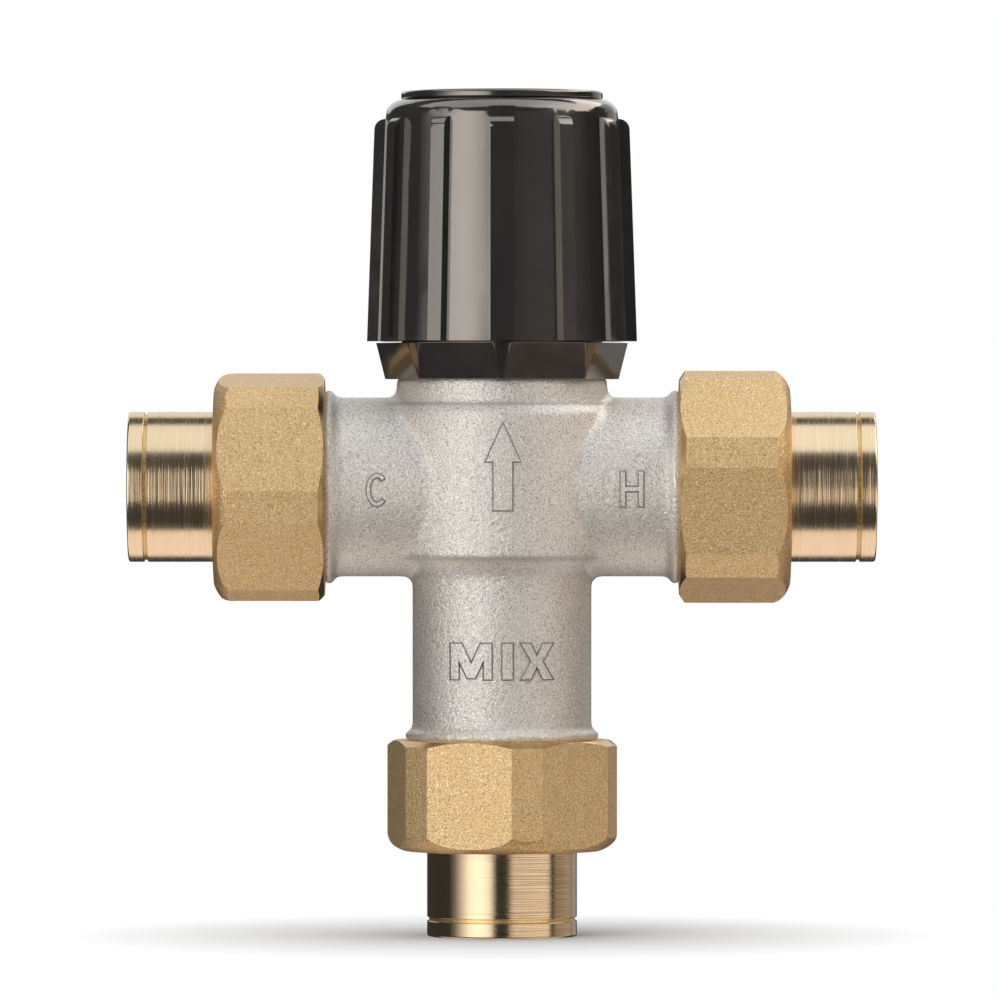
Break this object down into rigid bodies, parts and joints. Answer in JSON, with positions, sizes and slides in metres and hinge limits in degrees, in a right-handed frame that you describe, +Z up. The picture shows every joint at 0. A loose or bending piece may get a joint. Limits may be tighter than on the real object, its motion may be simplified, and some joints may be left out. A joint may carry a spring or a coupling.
{
  "type": "thermostatic mixing valve",
  "caption": "Three-way tempering valve: cast tee body, ribbed temperature knob, wax-driven mixing shuttle, check valves and union connections for copper tube.",
  "frame": {"origin": "centre of the mix tailpiece's open end, on which the valve stands", "axes": "+Z up along the mix outlet, spindle and knob; +X out of the hot inlet; -X out of the cold inlet; -Y towards the marked front of the body"},
  "size_m": [0.128, 0.0464, 0.1449],
  "materials": {
    "plated_casting": "nickel-plated brass casting, fine blasted grain",
    "nut_brass": "forged brass, fine blasted grain",
    "turned_brass": "turned brass, bright",
    "bonnet_brass": "machined brass",
    "spindle_brass": "machined brass",
    "black_knob": "moulded, glossy",
    "black_collar": "moulded, satin gloss",
    "seal_rubber": "moulded nitrile",
    "washer_rubber": "flat moulded rubber",
    "spring_steel": "drawn stainless wire and strip",
    "piston_steel": "ground stainless",
    "screw_steel": "stainless screw",
    "strainer_steel": "pressed stainless sheet",
    "element_copper": "deep-drawn copper capsule",
    "shuttle_plastic": "moulded, matte",
    "check_plastic": "moulded, matte",
    "poppet_plastic": "moulded, matte"
  },
  "bodies": {
    "valve": {"valve_body": "plated_casting", "knob_collar": "black_collar", "bonnet": "bonnet_brass", "bonnet_seal": "seal_rubber", "shuttle_seal": "seal_rubber", "cold_check_cage": "check_plastic", "cold_check_seal": "seal_rubber", "cold_check_spring": "spring_steel", "cold_strainer": "strainer_steel", "hot_check_cage": "check_plastic", "hot_check_seal": "seal_rubber", "hot_check_spring": "spring_steel", "hot_strainer": "strainer_steel"},
    "knob": {"temperature_knob": "black_knob", "knob_cap": "black_knob", "knob_screw": "screw_steel", "spindle": "spindle_brass", "spindle_circlip": "spring_steel", "spindle_seals": "seal_rubber"},
    "adjuster": {"adjuster_plunger": "spindle_brass", "thrust_clip": "spring_steel", "overtravel_spring": "spring_steel"},
    "thrust": {"thrust_cap": "spindle_brass", "element_piston": "piston_steel"},
    "shuttle": {"mixing_shuttle": "shuttle_plastic", "wax_element": "element_copper", "return_spring": "spring_steel"},
    "cold_check": {"cold_check_poppet": "poppet_plastic"},
    "hot_check": {"hot_check_poppet": "poppet_plastic"},
    "cold_tail": {"cold_tailpiece": "turned_brass", "cold_washer": "washer_rubber"},
    "cold_nut": {"cold_union_nut": "nut_brass"},
    "hot_tail": {"hot_tailpiece": "turned_brass", "hot_washer": "washer_rubber"},
    "hot_nut": {"hot_union_nut": "nut_brass"},
    "mix_tail": {"mix_tailpiece": "turned_brass", "mix_washer": "washer_rubber"},
    "mix_nut": {"mix_union_nut": "nut_brass"}
  },
  "joints": [
    {"name": "knob_turn", "type": "hinge", "parent": "valve", "child": "knob", "pos_m": [0, 0, 0.077], "axis": [0, 0, 1], "range_deg": [-135, 135]},
    {"name": "adjuster_travel", "type": "slide", "parent": "valve", "child": "adjuster", "axis": [0, 0, 1], "range_m": [-0.00112, 0.00112]},
    {"name": "overtravel", "type": "slide", "parent": "adjuster", "child": "thrust", "axis": [0, 0, 1], "range_m": [0, 0.0015], "stiffness_N_per_m": 2000, "springref_m": -0.003, "deforming": ["overtravel_spring"]},
    {"name": "element_stroke", "type": "slide", "parent": "adjuster", "child": "shuttle", "axis": [0, 0, -1], "range_m": [-0.001, 0.001], "stiffness_N_per_m": 5000, "deforming": ["return_spring"]},
    {"name": "cold_check_lift", "type": "slide", "parent": "valve", "child": "cold_check", "axis": [1, 0, 0], "range_m": [0, 0.0025], "stiffness_N_per_m": 150, "springref_m": -0.002, "deforming": ["cold_check_spring"]},
    {"name": "hot_check_lift", "type": "slide", "parent": "valve", "child": "hot_check", "axis": [-1, 0, 0], "range_m": [0, 0.0025], "stiffness_N_per_m": 150, "springref_m": -0.002, "deforming": ["hot_check_spring"]},
    {"name": "cold_tail_draw", "type": "slide", "parent": "valve", "child": "cold_tail", "axis": [-1, 0, 0], "range_m": [0, 0.00924]},
    {"name": "cold_nut_turn", "type": "hinge", "parent": "cold_tail", "child": "cold_nut", "pos_m": [0, 0, 0.077], "axis": [-1, 0, 0], "range_deg": [0, 1440]},
    {"name": "hot_tail_draw", "type": "slide", "parent": "valve", "child": "hot_tail", "axis": [1, 0, 0], "range_m": [0, 0.00924]},
    {"name": "hot_nut_turn", "type": "hinge", "parent": "hot_tail", "child": "hot_nut", "pos_m": [0, 0, 0.077], "axis": [1, 0, 0], "range_deg": [0, 1440]},
    {"name": "mix_tail_draw", "type": "slide", "parent": "valve", "child": "mix_tail", "axis": [0, 0, -1], "range_m": [0, 0.00924]},
    {"name": "mix_nut_turn", "type": "hinge", "parent": "mix_tail", "child": "mix_nut", "pos_m": [0, 0, 0.077], "axis": [0, 0, -1], "range_deg": [0, 1440]}
  ],
  "couplings": [
    {"joint": "knob_turn", "follows": "adjuster_travel", "rad_per_m": 2094.4},
    {"joint": "cold_nut_turn", "follows": "cold_tail_draw", "rad_per_m": 2721.2},
    {"joint": "hot_nut_turn", "follows": "hot_tail_draw", "rad_per_m": 2721.2},
    {"joint": "mix_nut_turn", "follows": "mix_tail_draw", "rad_per_m": 2721.2}
  ]
}
